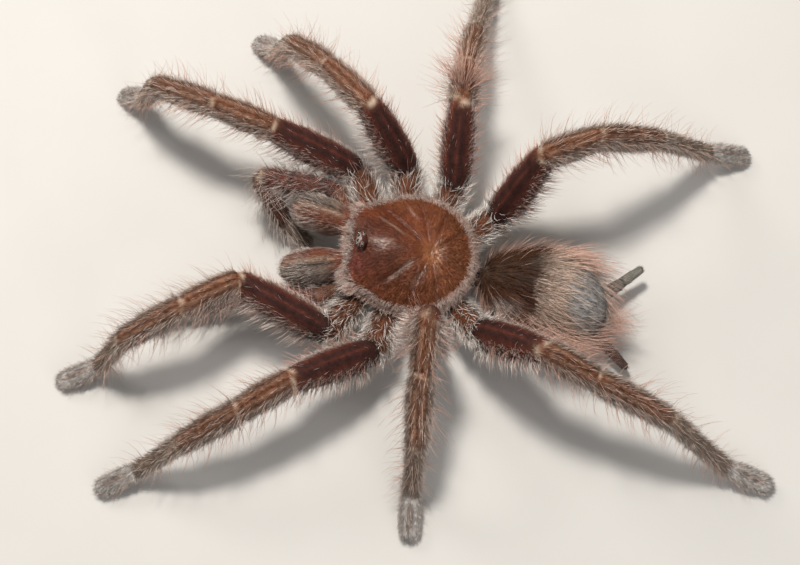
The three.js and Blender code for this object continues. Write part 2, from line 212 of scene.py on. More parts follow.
class Tube:
    """A tube along a smooth line. A place on it is s, the way along in mm, and theta, the angle from
    its side towards its top."""

    def __init__(self, kind, word, centres, sides, wide, deep, joints):
        self.kind = kind
        self.word = word
        self.joints = np.array(joints, float)
        self.centres = centres
        gap = np.linalg.norm(np.diff(centres, axis=0), axis=1)
        self.s = np.concatenate([[0], np.cumsum(gap)])
        self.joints *= self.s[-1] / self.joints[-1]
        self.length = self.s[-1]
        self.along = unit(np.gradient(centres, self.s, axis=0))
        self.sides = unit(sides - (sides * self.along).sum(1, keepdims=True) * self.along)
        self.tops = np.cross(self.along, self.sides)
        self.wide = wide
        self.deep = deep
        self.wide_slope = np.gradient(wide, self.s)
        self.deep_slope = np.gradient(deep, self.s)

    def at(self, table, s):
        if table.ndim == 1:
            return np.interp(s, self.s, table)
        return np.stack([np.interp(s, self.s, c) for c in table.T], -1)

    def place(self, s, theta):
        """Points, outward normals and the way along the tube."""
        side, top, along = self.at(self.sides, s), self.at(self.tops, s), self.at(self.along, s)
        wide, deep = self.at(self.wide, s), self.at(self.deep, s)
        c, n = np.cos(theta), np.sin(theta)
        points = self.at(self.centres, s) + (wide * c)[..., None] * side + (deep * n)[..., None] * top
        round_way = -(wide * n)[..., None] * side + (deep * c)[..., None] * top
        slope = (self.at(self.wide_slope, s) * c)[..., None] * side
        slope = slope + (self.at(self.deep_slope, s) * n)[..., None] * top
        run = along + slope
        return points, unit(np.cross(round_way, run)), unit(run)

    def segment(self, s):
        """Which segment a place is in, and how far along that segment it is, from 0 to 1."""
        index = np.clip(np.searchsorted(self.joints, s, side="right") - 1, 0, len(self.joints) - 2)
        start, end = self.joints[index], self.joints[index + 1]
        return index, (s - start) / (end - start)


def direction(heading, pitch):
    h, p = math.radians(heading), math.radians(pitch)
    return np.array([math.cos(p) * math.cos(h), math.cos(p) * math.sin(h), math.sin(p)])


def heading_of(points):
    """The heading of a line's first length."""
    out = points[1] - points[0]
    return math.degrees(math.atan2(out[1], out[0]))


def rounded(past):
    """A quarter circle's height, from 1 where past is 0 or less to 0 where it is 1."""
    return np.sqrt(np.clip(1 - np.clip(past, 0, 1) ** 2, 0, 1))


def chain(kind, word, points, headings, forms, bend=BEND, coat=COAT_DEPTH):
    """A limb: a tube through its joints, with each segment's own form, rounded at every bend."""
    points = [np.array(p, float) for p in points]
    lengths = [np.linalg.norm(b - a) for a, b in zip(points, points[1:])]
    joints = np.concatenate([[0], np.cumsum(lengths)])
    count = int(joints[-1] / GRAIN) + 1
    s = np.linspace(0, joints[-1], count)
    index = np.clip(np.searchsorted(joints, s, side="right") - 1, 0, len(lengths) - 1)
    part = (s - joints[index]) / np.array(lengths)[index]
    line = np.array(points)
    centres = line[index] + (line[index + 1] - line[index]) * part[:, None]
    turn = np.radians(np.array(headings, float))[index]
    sides = np.stack([-np.sin(turn), np.cos(turn), np.zeros(count)], 1)
    wide = np.zeros(count)
    deep = np.zeros(count)
    for i, (profile, depth) in enumerate(forms):
        here = index == i
        places, sizes = zip(*profile)
        wide[here] = np.interp(part[here], places, sizes)
        deep[here] = wide[here] * depth
    reach = int(bend / GRAIN)
    centres = smoothed(smoothed(centres, reach), reach // 2)
    sides = smoothed(sides, reach)
    wide, deep = smoothed(wide, FORM_BLEND), smoothed(deep, FORM_BLEND)
    for joint in joints[1:-1]:
        pinch = KNUCKLE_PINCH * bell(s - joint, KNUCKLE_WIDTH)
        wide -= pinch
        deep -= pinch
    wide, deep = wide - coat, deep - coat
    tip = wide[-1] * TIP_ROUNDNESS
    ends = rounded((s - (joints[-1] - tip)) / tip)
    if kind in ("leg", "palp"):
        ends = ends * rounded(1 - s / wide[0])
    ends = np.maximum(ends, LEAST_SIZE)
    return Tube(kind, word, centres, sides, wide * ends, deep * ends, joints)


def leg_tube(word, number):
    """A leg, whose metatarsus slopes just enough for the tarsus to reach the floor."""
    pair = LEG_PAIRS[number]
    heading, pitch = LEG_POSES[word, number]
    mirror = np.array([1 if word == "left" else -1, 1, 1])
    points = [np.array(pair["hip"]) * mirror, np.array(pair["root"]) * mirror]
    for length, h, p in zip(pair["lengths"][:3], heading, pitch):
        points.append(points[-1] + direction(h, p) * length)
    shank, foot = pair["lengths"][3:]
    tip_height = TIP_HEIGHT + TIP_SINK * (pitch[3] - FLAT_TARSUS_PITCH)
    foot_drop = -math.sin(math.radians(pitch[3])) * foot
    drop = points[-1][2] - tip_height - foot_drop
    shank_pitch = -math.degrees(math.asin(drop / shank))
    points.append(points[-1] + direction(heading[3], shank_pitch) * shank)
    points.append(points[-1] + direction(heading[4], pitch[3]) * foot)
    forms = [COXA, FEMUR, PATELLA, TIBIA, METATARSUS, TARSUS]
    return chain("leg", f"{word}_{number}", points, [heading_of(points), *heading], forms)


def palp_tube(word):
    size = PALPS[word]
    points = [np.array(size["hip"]), np.array(size["root"])]
    for length, h, p in zip(PALP_LENGTHS, size["heading"], size["pitch"]):
        points.append(points[-1] + direction(h, p) * length)
    headings = [heading_of(points), *size["heading"]]
    return chain("palp", word, points, headings, [PALP_COXA, PALP_FEMUR, PALP_SHANK, PALP_TARSUS])


def straight(kind, word, start, end, form, overlap=0.0, coat=COAT_DEPTH):
    """A single part along one line, such as a jaw or a spinneret, that starts sooner by the overlap."""
    start, end = np.array(start, float), np.array(end, float)
    root = start - unit(end - start) * overlap
    return chain(kind, word, [root, end], [heading_of([start, end])], [form], bend=0, coat=coat)


def oval_tube(kind, size, coat, yaw, swelling):
    """A closed egg along a line at that yaw; swelling gives its width's factor and its lift from -1 to 1."""
    wide, long, deep = (size[name] - coat for name in ("half_width", "half_length", "half_height"))
    turn = math.radians(yaw)
    along = np.array([math.sin(turn), math.cos(turn), 0])
    side = np.array([math.cos(turn), -math.sin(turn), 0])
    place = -np.cos(np.linspace(NEAR_END, math.pi - NEAR_END, EGG_SAMPLES))
    factor, lift = swelling(place)
    centres = np.array(size["centre"]) + np.outer(place * long, along) + np.outer(lift, [0, 0, 1])
    sides = -np.tile(side, (len(place), 1))
    ring = np.sqrt(np.clip(1 - place ** 2, 0, 1))
    return Tube(kind, "", centres, sides, wide * factor * ring, deep * factor * ring, [0, 2 * long])


def abdomen_swelling(place):
    return 1 + 0.13 * place - 0.1 * place * place, -1.2 * place


def sternum_swelling(place):
    return 1 + 0.1 * place, 0 * place


def spinneret_tube(word):
    return straight("spinneret", word, *SPINNERETS[word], SPINNERET, SPINNERET_OVERLAP, SPINNERET_COAT)


TUBES = [leg_tube(word, number) for word in ("left", "right") for number in LEG_PAIRS]
TUBES += [palp_tube(word) for word in PALPS]
TUBES += [straight("jaw", word, *CHELICERAE[word], JAW_FORM) for word in CHELICERAE]
TUBES += [spinneret_tube(word) for word in SPINNERETS]
TUBES.append(straight("waist", "", *WAIST_ENDS, WAIST))
TUBES.append(oval_tube("abdomen", ABDOMEN, COAT_DEPTH, ABDOMEN["yaw"], abdomen_swelling))
TUBES.append(oval_tube("sternum", STERNUM, 0, 0, sternum_swelling))
STRIPS = len(TUBES) + 1
for number, tube in enumerate(TUBES):
    tube.strip = number


def tubes_of(*kinds):
    return [t for t in TUBES if t.kind in kinds]


def unwrap(tube, s, theta):
    """The place of a point on the flat unwrap of the skin, a strip for each tube; theta from 0 up."""
    u = 0.01 + 0.97 * s / tube.length
    v = (tube.strip + 0.04 + 0.9 * theta / (2 * math.pi)) / STRIPS
    return np.stack([u, v], -1)


def whole_faces(angles):
    """Corner angles of faces, with those of a face that spans the seam all put past it."""
    wraps = (angles.max(1) - angles.min(1)) > math.pi
    angles[wraps] = np.where(angles[wraps] < math.pi, angles[wraps] + 2 * math.pi, angles[wraps])
    return angles


# ---------------- markings

MAROON = rgb(54, 31, 28)
RUST = rgb(110, 53, 38)
BROWN = rgb(106, 60, 37)
GREY_BROWN = rgb(134, 116, 103)
ASH = rgb(180, 175, 171)
CREAM = rgb(198, 176, 154)
STRAW = rgb(184, 156, 134)
DARK = rgb(38, 26, 23)
PINK = rgb(222, 182, 166)
WHITE = rgb(232, 220, 212)
OLIVE = rgb(66, 44, 30)
BEIGE = rgb(176, 156, 143)
BLUE_GREY = rgb(154, 150, 148)
ORANGE = rgb(120, 66, 45)
SADDLE = rgb(122, 70, 46)
WOOL = rgb(252, 246, 240)
RED_TIP = rgb(176, 92, 62)
GREY_TIP = rgb(206, 193, 182)
JAW_GREY = rgb(126, 114, 104)
JAW_PALE = rgb(178, 158, 138)
HIP_BROWN = rgb(112, 68, 46)
TARSUS_BROWN = rgb(112, 84, 66)
SOLE = rgb(62, 54, 52)
SHADOW = rgb(84, 78, 68)
FLANK = rgb(186, 180, 174)
UNDERSIDE = rgb(92, 66, 52)
SPINNERET_TONES = {"right": rgb(124, 122, 114), "left": rgb(82, 62, 55)}

# The smooth patch on the abdomen that has lost its hair.
BALD_PATCH = {"back": 12.4, "across": -2.0, "half_length": 6.2, "half_width": 11.0}

# One tone for each segment, from the hip out, and the strength of the pale bands at the joints.
LEG_TONES = np.array([HIP_BROWN, MAROON, BROWN, mix(BROWN, GREY_BROWN, 0.15), GREY_BROWN, ASH])
PALP_TONES = np.array([HIP_BROWN, rgb(104, 56, 45), BROWN, GREY_BROWN])
JOINT_BANDS = (0.2, 0.8, 0.6, 0.5, 0.15)
FAINT_KNEES = {"left_3": 0.3, "left": 0.2}


def limb_colour(tube, s, theta, points):
    """A leg or a palp: its segments' tones, with ridges, stripes and pale bands at the joints."""
    tones = LEG_TONES if tube.kind == "leg" else PALP_TONES
    index, part = tube.segment(s)
    colour = tones[index]
    following = tones[np.minimum(index + 1, len(tones) - 1)]
    joint_after = tube.joints[index + 1]
    colour = mix(colour, following, 0.5 * bell(joint_after - s, 1.4) * (index < len(tones) - 1))
    top = np.degrees(np.abs((theta - math.pi / 2 + math.pi) % (2 * math.pi) - math.pi))
    sideways = np.abs(np.cos(theta))
    femur = index == 1
    knee_and_shin = (index == 2) | (index == 3)
    beyond_femur = (index >= 2) & (index < len(tones) - 1)
    colour = mix(colour, RUST, 0.75 * step(sideways, 0.5, 0.85) * femur * step(part, 0.05, 0.3))
    ridge = bell(top, 4) + 0.6 * bell(top - 34, 5)
    colour = mix(colour, RUST, 0.45 * ridge * femur * step(part, 0.05, 0.2) * step(-part, -0.97, -0.8))
    lines = bell(top - 22, 7) + 0.8 * bell(top - 60, 8)
    stripe = lines * step(part, 0.02, 0.12) * step(-part, -0.98, -0.88)
    between_lines = bell(top - 41, 6) + 0.6 * bell(top, 6)
    colour = mix(colour, DARK, 0.3 * between_lines * knee_and_shin)
    colour = mix(colour, STRAW, 0.6 * stripe * knee_and_shin * (tube.kind == "leg"))
    colour = mix(colour, STRAW, 0.35 * stripe * (index == 4))
    colour = mix(colour, GREY_BROWN, 0.5 * sideways ** 3 * beyond_femur)
    if tube.kind == "leg":
        oval = ((part - 0.5) / 0.36) ** 2 + (top / 26) ** 2
        colour = mix(colour, TARSUS_BROWN, 0.5 * step(-oval, -1.15, -0.7) * (index == 5))
        colour = mix(colour, SOLE, step(top, 120, 150) * (index >= 4))
    else:
        colour = mix(colour, MAROON, 0.7 * (bell(top - 14, 5) + 0.5 * bell(top - 30, 5)) * femur)
    colour = mix(colour, DARK, 0.35 * step(top, 115, 160))
    bands = list(JOINT_BANDS)
    bands[1] = FAINT_KNEES.get(tube.word, bands[1])
    for joint, strength in zip(tube.joints[1:-1], bands):
        band = np.exp(-np.abs((s - joint - 0.5 * np.cos(theta)) / 0.34) ** 3)
        colour = mix(colour, CREAM, strength * band * step(-top, -120, -80))
    return mottled(colour, points, 5, 3, 0.44)


def abdomen_place(points):
    """Across and back from the abdomen's middle, and a measure that is 1 along its bald patch's edge."""
    x = points[..., 0] - ABDOMEN["centre"][0]
    y = points[..., 1] - ABDOMEN["centre"][1]
    turn = math.radians(ABDOMEN["yaw"])
    across = x * math.cos(turn) - y * math.sin(turn)
    back = x * math.sin(turn) + y * math.cos(turn)
    bald = ((back - BALD_PATCH["back"]) / BALD_PATCH["half_length"]) ** 2
    bald = bald + ((across - BALD_PATCH["across"]) / BALD_PATCH["half_width"]) ** 2
    return across, back, bald


def abdomen_colour(points):
    """Dark in front and beige behind, parted by a ragged line, with a blue-grey bald patch."""
    across, back, bald = abdomen_place(points)
    ragged = 2.6 * (waves(points, 7, 11) - 0.5) + 1.4 * (waves(points, 2.2, 12) - 0.5)
    colour = flat_colour(OLIVE, points)
    colour = mix(colour, SADDLE, 0.65 * step(across, 1, 10) * step(-back, -2, 6))
    colour = mix(colour, SHADOW, 0.5 * bell(back + 4, 2.5) * bell(across + 6, 3.5))
    colour = mix(colour, DARK, 0.45 * bell(back + 5, 4) * bell(across, 8))
    colour = mix(colour, BEIGE, step(back + ragged - 0.15 * across, -3.4, -0.4))
    colour = mix(colour, BLUE_GREY, step(-bald - 0.1 * ragged, -1.15, -0.8) * step(points[..., 2], 8, 12))
    colour = mix(colour, FLANK, 0.85 * step(across, 5, 7.5) * bell(back + 11, 5))
    colour = mix(colour, UNDERSIDE, 0.8 * step(-points[..., 2], -10, -5))
    return mottled(colour, points, 4, 13)


def jaw_colour(tube, s, theta, points):
    """Rust on the top, grey on the outer side, parted by a pale ridge and a dark groove, with a painted
    shadow along the outer side.
    """
    part = s / tube.length
    outward = 1 if tube.word == "left" else -1
    outer = np.degrees(np.arctan2(np.cos(theta) * outward, np.sin(theta)))
    within = step(part, 0.12, 0.25) * step(-part, -0.92, -0.76)
    colour = mix(flat_colour(ORANGE, points), STRAW, 0.4 * step(part, 0.62, 1))
    colour = mix(colour, JAW_GREY, 0.9 * step(outer, 2, 12) * step(part, 0.12, 0.4))
    colour = mix(colour, GREY_BROWN, 0.5 * step(-outer, 40, 70))
    colour = mix(colour, JAW_PALE, 0.75 * bell(outer + 4, 7) * within)
    colour = mix(colour, DARK, 0.95 * bell(outer - 15, 4.5) * within)
    # Painted shadow: a dark band along the middle of each jaw's outer side.
    colour = mix(colour, DARK, 0.85 * bell(outer - 84, 7) * step(part, 0.2, 0.35) * step(-part, -0.8, -0.6))
    return mottled(colour, points, 3, 17)


def skin_colour(tube, s, theta, points):
    if tube.kind in ("leg", "palp"):
        return limb_colour(tube, s, theta, points)
    if tube.kind == "abdomen":
        return abdomen_colour(points)
    if tube.kind == "jaw":
        return jaw_colour(tube, s, theta, points)
    if tube.kind == "spinneret":
        ring = np.abs((s / tube.length * 3) % 1 - 0.5) > 0.44
        colour = mix(flat_colour(SPINNERET_TONES[tube.word], points), DARK, 0.6 * ring)
        return mottled(colour, points, 2, 19)
    return mottled(flat_colour(rgb(70, 44, 34), points), points, 3, 23)


# ---------------- meshes

TAIL_RINGS = 6


def placed(name, data):
    """A new object in the scene."""
    made = bpy.data.objects.new(name, data)
    bpy.context.scene.collection.objects.link(made)
    return made


def make_mesh(name, verts, faces, colours, face_uvs):
    """A mesh object from arrays: verts in mm, faces of three, colours at verts, uvs at face corners."""
    mesh = bpy.data.meshes.new(name)
    count = len(faces)
    mesh.vertices.add(len(verts))
    mesh.vertices.foreach_set("co", ((verts + SHIFT) * MM).astype(np.float32).ravel())
    mesh.loops.add(count * 3)
    mesh.loops.foreach_set("vertex_index", faces.astype(np.int32).ravel())
    mesh.polygons.add(count)
    mesh.polygons.foreach_set("loop_start", np.arange(count, dtype=np.int32) * 3)
    mesh.update(calc_edges=True)
    mesh.polygons.foreach_set("use_smooth", np.full(count, True))
    tones = mesh.color_attributes.new("tone", "FLOAT_COLOR", "POINT")
    full = np.ones((len(verts), 4), np.float32)
    full[:, :3] = np.clip(colours, 0, 1)
    tones.data.foreach_set("color", full.ravel())
    unwrapped = mesh.uv_layers.new(name="OFBake")
    unwrapped.data.foreach_set("uv", face_uvs.astype(np.float32).ravel())
    mesh.validate()
    return placed(name, mesh)


def grid_faces(rings, sides):
    """Faces between the rings of a tube, and a fan over each end, whose centres are the last two vertices."""
    ring = np.arange(rings - 1)[:, None] * sides
    side = np.arange(sides)[None, :]
    a = (ring + side).ravel()
    b = (ring + (side + 1) % sides).ravel()
    quads = np.concatenate([np.stack([a, b, b + sides], 1), np.stack([a, b + sides, a + sides], 1)])
    here = np.arange(sides)
    ahead = (here + 1) % sides
    start, end = rings * sides, rings * sides + 1
    last = (rings - 1) * sides
    caps = np.concatenate([
        np.stack([np.full(sides, start), ahead, here], 1),
        np.stack([np.full(sides, end), last + here, last + ahead], 1),
    ])
    return np.concatenate([quads, caps])


def grid(rows, columns):
    return (m.ravel() for m in np.meshgrid(rows, columns, indexing="ij"))


def around(sides):
    return np.linspace(0, 2 * math.pi, sides, endpoint=False)


def skin_parts(tube, spacing, sides):
    """A tube's skin: vertices, faces, tones and the unwrap of the faces' corners."""
    rings = max(8, int(tube.length / spacing))
    if tube.kind in ("abdomen", "sternum"):
        s = np.interp(-np.cos(np.linspace(0, math.pi, rings)), [-1, 1], [0, tube.length])
    else:
        tail = min(3.0, tube.length / 3)
        body = np.linspace(0, tube.length - tail, rings - TAIL_RINGS)
        bow = np.linspace(0, math.pi / 2, TAIL_RINGS + 1)[1:]
        s = np.concatenate([body, tube.length - tail * (1 - np.sin(bow))])
    s, theta = grid(s, around(sides))
    points, _, _ = tube.place(s, theta)
    verts = np.concatenate([points, tube.centres[:1], tube.centres[-1:]])
    verts[:, 2] = np.maximum(verts[:, 2], LOWEST_SKIN)
    s = np.concatenate([s, [0, tube.length]])
    theta = np.concatenate([theta, [0, 0]])
    faces = grid_faces(rings, sides)
    return verts, faces, skin_colour(tube, s, theta, verts), unwrap(tube, s[faces], whole_faces(theta[faces]))


def joined(parts):
    """The arrays of several parts as those of one mesh."""
    verts, faces, colours, uvs = [], [], [], []
    first = 0
    for v, f, c, uv in parts:
        verts.append(v)
        faces.append(f + first)
        colours.append(c)
        uvs.append(uv)
        first += len(v)
    return np.concatenate(verts), np.concatenate(faces), np.concatenate(colours), np.concatenate(uvs)


# ---------------- materials


def set_inputs(target, values):
    for key, value in values.items():
        target.inputs[key].default_value = value


def node(tree, kind, values):
    """A new shader node with values for its inputs."""
    made = tree.nodes.new(kind)
    set_inputs(made, values)
    return made


def link(tree, source, output, target, entry):
    tree.links.new(source.outputs[output], target.inputs[entry])


def noise(tree, scale, detail):
    """Noise fixed to the object's own shape."""
    where = tree.nodes.new("ShaderNodeTexCoord")
    made = node(tree, "ShaderNodeTexNoise", {"Scale": scale, "Detail": detail})
    link(tree, where, "Object", made, "Vector")
    return made


def new_material(name, values):
    """A material, its node tree and its shader, which has values for its inputs."""
    material = bpy.data.materials.new(name)
    material.use_nodes = True
    shader = material.node_tree.nodes["Principled BSDF"]
    set_inputs(shader, values)
    return material, material.node_tree, shader


BUMP_SCALE = 900
BUMP_DEPTH = 0.0003


def coat_material(name, roughness, noise_scale, spread=0.25, bump=0.0, coat=0.0, specular=0.15):
    """Colour from the tone attribute with fine mottling over it, and a fine grain in the bump."""
    material, tree, shader = new_material(
        name, {"Roughness": roughness, "Coat Weight": coat, "Specular IOR Level": specular},
    )
    tone = tree.nodes.new("ShaderNodeVertexColor")
    tone.layer_name = "tone"
    span = {"From Min": 0.3, "From Max": 0.7, "To Min": 1 - spread, "To Max": 1 + spread}
    ramp = node(tree, "ShaderNodeMapRange", span)
    link(tree, noise(tree, noise_scale, 5.0), "Fac", ramp, "Value")
    scaled = tree.nodes.new("ShaderNodeVectorMath")
    scaled.operation = "SCALE"
    link(tree, tone, "Color", scaled, 0)
    link(tree, ramp, "Result", scaled, "Scale")
    link(tree, scaled, "Vector", shader, "Base Color")
    if bump > 0:
        raised = node(tree, "ShaderNodeBump", {"Strength": bump, "Distance": BUMP_DEPTH})
        link(tree, noise(tree, BUMP_SCALE, 4.0), "Fac", raised, "Height")
        link(tree, raised, "Normal", shader, "Normal")
    return material


# ---------------- hair

# A hair's size on the unwrap, the steps in which its arc is summed, and the sharpness of its taper.
UV_PATCH = 0.003
ARC_STEPS = 12
TAPER = 0.7
# How much lengths and slopes vary, the spread of the tips' slopes in degrees, and how deep roots go.
VARIETY = 0.3
END_WANDER = 6
ROOT_DEPTH = 0.1


def hair_mesh(roots, normals, ways, length, width, rise, rise_end, root_tones, tip_tones, uvs, bends):
    """Tapered three-sided hairs, each closed. A hair leaves its root at the angle rise above the way
    it lies, and ends at the angle rise_end; bends is its number of lengths."""
    count = len(roots)
    steps = np.linspace(0, 1, bends + 1)
    fine = np.linspace(0, 1, ARC_STEPS + 1)
    angle = rise[:, None] + (rise_end - rise)[:, None] * fine[None, :]
    middle = (angle[:, 1:] + angle[:, :-1]) / 2
    forward = np.concatenate([np.zeros((count, 1)), np.cumsum(np.cos(middle), 1)], 1) / ARC_STEPS
    upward = np.concatenate([np.zeros((count, 1)), np.cumsum(np.sin(middle), 1)], 1) / ARC_STEPS
    across = unit(np.cross(ways, normals))
    rings = []
    for t in steps[:-1]:
        k = round(ARC_STEPS * t)
        centre = roots + length[:, None] * (forward[:, k, None] * ways + upward[:, k, None] * normals)
        size = (width / 2 * (1 - t) ** TAPER)[:, None]
        local = unit(np.cos(angle[:, k, None]) * normals - np.sin(angle[:, k, None]) * ways)
        for corner in range(3):
            turn = 2 * math.pi * corner / 3
            rings.append(centre + size * (math.cos(turn) * across + math.sin(turn) * local))
    tips = roots + length[:, None] * (forward[:, -1, None] * ways + upward[:, -1, None] * normals)
    verts = np.stack([*rings, tips], 1)
    verts[..., 2] = np.maximum(verts[..., 2], LOWEST_SKIN)
    per_hair = 3 * bends + 1
    one_hair = [[0, 2, 1]]
    for j in range(bends - 1):
        for corner in range(3):
            a, b = 3 * j + corner, 3 * j + (corner + 1) % 3
            one_hair += [[a, b, b + 3], [a, b + 3, a + 3]]
    last = 3 * (bends - 1)
    for corner in range(3):
        one_hair.append([last + corner, last + (corner + 1) % 3, per_hair - 1])
    first = np.arange(count) * per_hair
    faces = (np.array(one_hair)[None] + first[:, None, None]).reshape(-1, 3)
    place = np.concatenate([np.repeat(steps[:-1], 3), [1]])
    tones = root_tones[:, None, :] + (tip_tones - root_tones)[:, None, :] * place[None, :, None]
    local_v = np.concatenate([np.tile([-0.5, 0, 0.5], bends), [0]])
    local_uv = np.stack([place - 0.5, local_v], 1) * UV_PATCH
    all_uv = (uvs[:, None, :] + local_uv[None]).reshape(-1, 2)
    return verts.reshape(-1, 3), faces, tones.reshape(-1, 3), all_uv[faces]


def jitter(count, amount):
    """Random factors round 1, up to that amount away."""
    return 1 + amount * (2 * rng.random(count) - 1)


def scatter(tube, density, start=0.0, end=1.0, where=None):
    """Random places on a tube, density to the square millimetre; where thins them by place."""
    ring = 2 * math.pi * np.sqrt((tube.wide ** 2 + tube.deep ** 2) / 2)
    keep = (tube.s >= start * tube.length) & (tube.s <= end * tube.length)
    weight = ring * keep
    area = (np.diff(tube.s) * (weight[1:] + weight[:-1]) / 2).sum()
    count = rng.poisson(area * density)
    total = np.cumsum(weight)
    s = np.interp(rng.random(count) * total[-1], total, tube.s)
    s = np.clip(s + (rng.random(count) - 0.5) * GRAIN, 0, tube.length)
    theta = rng.random(count) * 2 * math.pi
    if where is not None:
        kept = rng.random(count) < where(s, theta)
        s, theta = s[kept], theta[kept]
    return s, theta


def along_surface(normals, ways):
    """Ways laid along a surface, and those across them."""
    across = unit(np.cross(normals, ways))
    return unit(np.cross(across, normals)), across


def swirled(normals, ways, swirl):
    """Ways laid along a surface, each turned a little to either side; swirl is in degrees."""
    ways, across = along_surface(normals, ways)
    turn = np.radians(rng.normal(0, swirl, len(ways)))[:, None]
    return np.cos(turn) * ways + np.sin(turn) * across


def grow(
    tube, s, theta, length, width, rise, rise_end, tip, tip_amount, bends, swirl=12, shade=0.9, pale=0.0,
):
    """Hairs at places on a tube, that take the skin's colour at their roots."""
    count = len(s)
    points, normals, ways = tube.place(s, theta)
    ways = swirled(normals, ways, swirl)
    root = mix(skin_colour(tube, s, theta, points), tip, np.broadcast_to(pale, count))
    root = root * (shade * jitter(count, 0.25))[:, None]
    tips = mix(root, tip, tip_amount * jitter(count, VARIETY).clip(0, 1.2))
    rise = np.radians(rise * jitter(count, VARIETY))
    rise_end = np.radians(rise_end + rng.normal(0, END_WANDER, count))
    return hair_mesh(
        points - normals * ROOT_DEPTH, normals, ways, length * jitter(count, VARIETY),
        np.broadcast_to(width, count), rise, rise_end, root, tips,
        unwrap(tube, s, theta % (2 * math.pi)), bends,
    )


def hairs(tube, density, *form, start=0.0, end=1.0, where=None, **look):
    """Hairs of one form, scattered over a tube."""
    return grow(tube, *scatter(tube, density, start, end, where), *form, **look)


def add_piece(name, parts, material, nodes=()):
    """One mesh object of the model, which rides the frame and takes the place of those nodes."""
    obj = make_mesh(name, *joined(parts))
    obj.data.materials.append(material)
    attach(obj, "root")
    if nodes:
        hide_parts(*nodes)


# ---------------- skin

# The gap between the skin's rings in mm, and the number of its sides.
SKIN_GRAIN = {
    "leg": (0.8, 24), "palp": (0.8, 20), "jaw": (0.5, 28), "abdomen": (0.45, 64),
    "sternum": (0.8, 32), "waist": (0.8, 16), "spinneret": (0.35, 16),
}
hide = coat_material("hide", 0.7, bump=0.8, noise_scale=500)
skin_nodes = [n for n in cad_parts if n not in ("carapace", "eyes", "fang_left", "fang_right")]
add_piece("skin", [skin_parts(t, *SKIN_GRAIN[t.kind]) for t in TUBES], hide, skin_nodes)

# ---------------- carapace

SHELL_DEPTH = 0.45
SHELL_SIDES = 160
SHELL_ROWS = 60
LIP = 1.0
# Bearings of the radial grooves and of the pale rays between them, in degrees from straight ahead.
GROOVES = (38, 72, 104, 138)
RAYS = (28, 55, 92, 122, 156)


def shell_height(x, y, h, front):
    rim = SHIELD["rim_top"] + SHIELD["front_rim_rise"] * front
    head = SHIELD["head_rise"] * np.exp(-(x / 7) ** 2 - ((y + SHIELD["head_forward"]) / 8) ** 2)
    pit = SHIELD["pit_depth"] * np.exp(-(x / 3.5) ** 2 - ((y - SHIELD["pit_back"]) / 2.5) ** 2)
    return rim + h * SHIELD["dome_rise"] + (head - pit) * np.minimum(1, h * 1.6)


def from_the_pit(x, y):
    """How far a place is from the pit, and its bearing in degrees, 0 straight ahead and 180 behind."""
    behind = y - SHIELD["pit_back"]
    return np.hypot(x, behind), np.degrees(np.abs(np.arctan2(x, -behind)))


def shell_place(spread, angle):
    """A point of the carapace's top, in the model's frame and in the shell's own x and y. The spread
    is 0 at the crown and 1 at the rim, and the angle is 0 straight ahead."""
    degrees = np.degrees(np.abs((angle + math.pi) % (2 * math.pi) - math.pi))
    bulge = SHIELD["corner_bulge"] * bell(degrees - SHIELD["corner_angle"], SHIELD["corner_spread"])
    x = np.sin(angle) * spread * (SHIELD["half_width"] + bulge - SHELL_DEPTH)
    y = -np.cos(angle) * spread * (SHIELD["half_length"] + bulge - SHELL_DEPTH)
    front = np.maximum(0, np.cos(angle)) ** 3 * spread ** 2
    h = np.interp(spread, [0, 0.35, 0.6, 0.8, 0.93, 1], [1, 0.92, 0.75, 0.52, 0.3, 0])
    z = shell_height(x, y, h, front) - SHELL_DEPTH
    from_pit, bearing = from_the_pit(x, y)
    reach = step(from_pit, 1.5, 4) * step(-spread, -0.92, -0.7)
    for groove in GROOVES:
        width = 2.2 + 9 / (1 + from_pit)
        z = z - 0.42 * bell(bearing - groove, width) * reach
    z = z - 0.5 * np.exp(-(x / 2.0) ** 2 - ((y - SHIELD["pit_back"]) / 0.5) ** 2)
    turn = math.radians(SHIELD["yaw"])
    px = x * math.cos(turn) - y * math.sin(turn) + SHIELD["centre"][0]
    py = x * math.sin(turn) + y * math.cos(turn) + SHIELD["centre"][1]
    return np.stack([px, py, z], -1), np.stack([x, y], -1)


def shell_frame(spread, angle):
    """Points, normals, the way that the short coat lies, outward from the pit, and the shell's x and y."""
    points, flat = shell_place(spread, angle)
    nearby = 0.004
    outward, _ = shell_place(spread + nearby, angle)
    round_way, _ = shell_place(spread, angle + nearby / np.maximum(spread, 0.05))
    normals = unit(np.cross(outward - points, round_way - points))
    normals = np.where(normals[..., 2:] < 0, -normals, normals)
    pit, _ = shell_place(np.array([SHIELD["pit_back"] / SHIELD["half_length"]]), np.array([math.pi]))
    return points, normals, along_surface(normals, unit(points - pit[0]))[0], flat


SHELL = rgb(108, 52, 31)
SHELL_RED = rgb(70, 26, 18)
SHELL_GOLD = rgb(166, 112, 74)
SHELL_RIM = rgb(176, 120, 92)
# The colour of the painted sheen on the carapace's left front corner.
MAUVE_SHEEN = rgb(120, 58, 56)
SHELL_UNDER = rgb(84, 46, 34)
# The colour of the pale hair lines and of the painted highlights on the shell.
SILVER_AND_HIGHLIGHT = rgb(168, 146, 134)
